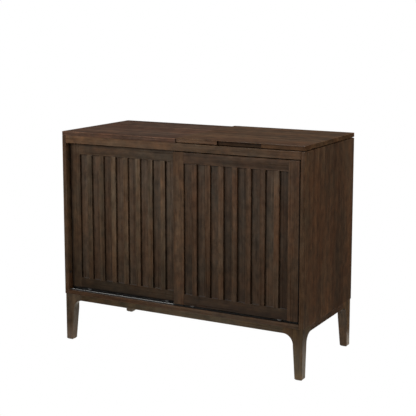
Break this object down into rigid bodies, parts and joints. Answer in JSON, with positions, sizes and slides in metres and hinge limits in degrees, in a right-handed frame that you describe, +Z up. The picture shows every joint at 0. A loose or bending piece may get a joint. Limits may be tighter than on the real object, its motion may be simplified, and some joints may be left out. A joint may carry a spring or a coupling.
{
  "type": "record player cabinet",
  "caption": "Low walnut cabinet with fluted sliding doors, a fixed top on the left and a lift-up lid over the turntable well on the right, on a base with tapered square legs.",
  "frame": {"origin": "on the floor, under the middle of the cabinet's whole box, hinge barrels included", "axes": "+X to the right seen from the front, +Y to the back, +Z up"},
  "size_m": [1, 0.4643, 0.819],
  "materials": {
    "walnut": "satin stained walnut veneer and solid wood",
    "walnut_inside": "satin stained walnut veneer on boards",
    "beech": "bare wood",
    "zinc_steel": "zinc plated",
    "aluminium": "satin anodised",
    "nylon": "natural nylon",
    "black_plastic": "moulded, matte",
    "rubber": "soft, dark brown"
  },
  "bodies": {
    "case": {"front_left_leg": "walnut", "front_right_leg": "walnut", "rear_left_leg": "walnut", "rear_right_leg": "walnut", "front_apron": "walnut", "rear_apron": "walnut", "left_apron": "walnut", "right_apron": "walnut", "base_cross_rail": "walnut_inside", "corner_blocks": "beech", "leg_bolts": "zinc_steel", "foot_glides": "black_plastic", "left_side_panel": "walnut", "right_side_panel": "walnut", "bottom_panel": "walnut", "centre_divider": "walnut_inside", "fixed_top": "walnut", "front_rail": "walnut", "rear_rail": "walnut_inside", "left_back_panel": "walnut_inside", "right_back_panel": "walnut_inside", "back_panel_screws": "zinc_steel", "cable_grommets": "black_plastic", "turntable_shelf": "walnut_inside", "adjustable_shelf": "walnut_inside", "shelf_pins": "zinc_steel", "record_dividers": "walnut_inside", "upper_track": "aluminium", "lower_tracks": "aluminium", "dowels": "beech", "lid_bumpers": "rubber", "door_bumpers": "rubber", "hinge_case_leaves": "zinc_steel", "hinge_pins": "zinc_steel", "case_screws": "zinc_steel", "stay_stud_plate": "zinc_steel"},
    "lid": {"lid_panel": "walnut", "hinge_lid_leaves": "zinc_steel", "lid_screws": "zinc_steel", "stay_lid_bracket": "zinc_steel"},
    "stay_arm": {"stay_arm": "zinc_steel"},
    "left_door": {"left_door_stiles": "walnut", "left_door_rails": "walnut", "left_door_slats": "walnut", "left_door_panel": "walnut", "left_door_roller_housings": "black_plastic", "left_door_roller_axles": "zinc_steel", "left_door_top_guides": "black_plastic"},
    "left_door_roller_1": {"left_door_roller_1": "nylon"},
    "left_door_roller_2": {"left_door_roller_2": "nylon"},
    "right_door": {"right_door_stiles": "walnut", "right_door_rails": "walnut", "right_door_slats": "walnut", "right_door_panel": "walnut", "right_door_roller_housings": "black_plastic", "right_door_roller_axles": "zinc_steel", "right_door_top_guides": "black_plastic"},
    "right_door_roller_1": {"right_door_roller_1": "nylon"},
    "right_door_roller_2": {"right_door_roller_2": "nylon"}
  },
  "joints": [
    {"name": "lid_hinge", "type": "hinge", "parent": "case", "child": "lid", "pos_m": [0.2505, 0.22915, 0.8015], "axis": [-1, 0, 0], "range_deg": [0, 80]},
    {"name": "stay_arm_pivot", "type": "hinge", "parent": "lid", "child": "stay_arm", "pos_m": [0.4785, 0.09452, 0.789], "axis": [-1, 0, 0], "range_deg": [-40, 0]},
    {"name": "left_door_slide", "type": "slide", "parent": "case", "child": "left_door", "axis": [1, 0, 0], "range_m": [0, 0.466]},
    {"name": "right_door_slide", "type": "slide", "parent": "case", "child": "right_door", "axis": [-1, 0, 0], "range_m": [0, 0.466]},
    {"name": "left_door_roller_1_spin", "type": "hinge", "parent": "left_door", "child": "left_door_roller_1", "pos_m": [-0.406, -0.19815, 0.215], "axis": [0, 1, 0], "range_deg": [0, 2510]},
    {"name": "left_door_roller_2_spin", "type": "hinge", "parent": "left_door", "child": "left_door_roller_2", "pos_m": [-0.06, -0.19815, 0.215], "axis": [0, 1, 0], "range_deg": [0, 2510]},
    {"name": "right_door_roller_1_spin", "type": "hinge", "parent": "right_door", "child": "right_door_roller_1", "pos_m": [0.06, -0.21915, 0.215], "axis": [0, -1, 0], "range_deg": [0, 2510]},
    {"name": "right_door_roller_2_spin", "type": "hinge", "parent": "right_door", "child": "right_door_roller_2", "pos_m": [0.406, -0.21915, 0.215], "axis": [0, -1, 0], "range_deg": [0, 2510]}
  ],
  "couplings": [
    {"joint": "stay_arm_pivot", "follows": "lid_hinge", "ratio": -0.5},
    {"joint": "left_door_roller_1_spin", "follows": "left_door_slide", "rad_per_m": 93.458},
    {"joint": "left_door_roller_2_spin", "follows": "left_door_slide", "rad_per_m": 93.458},
    {"joint": "right_door_roller_1_spin", "follows": "right_door_slide", "rad_per_m": 93.458},
    {"joint": "right_door_roller_2_spin", "follows": "right_door_slide", "rad_per_m": 93.458}
  ]
}
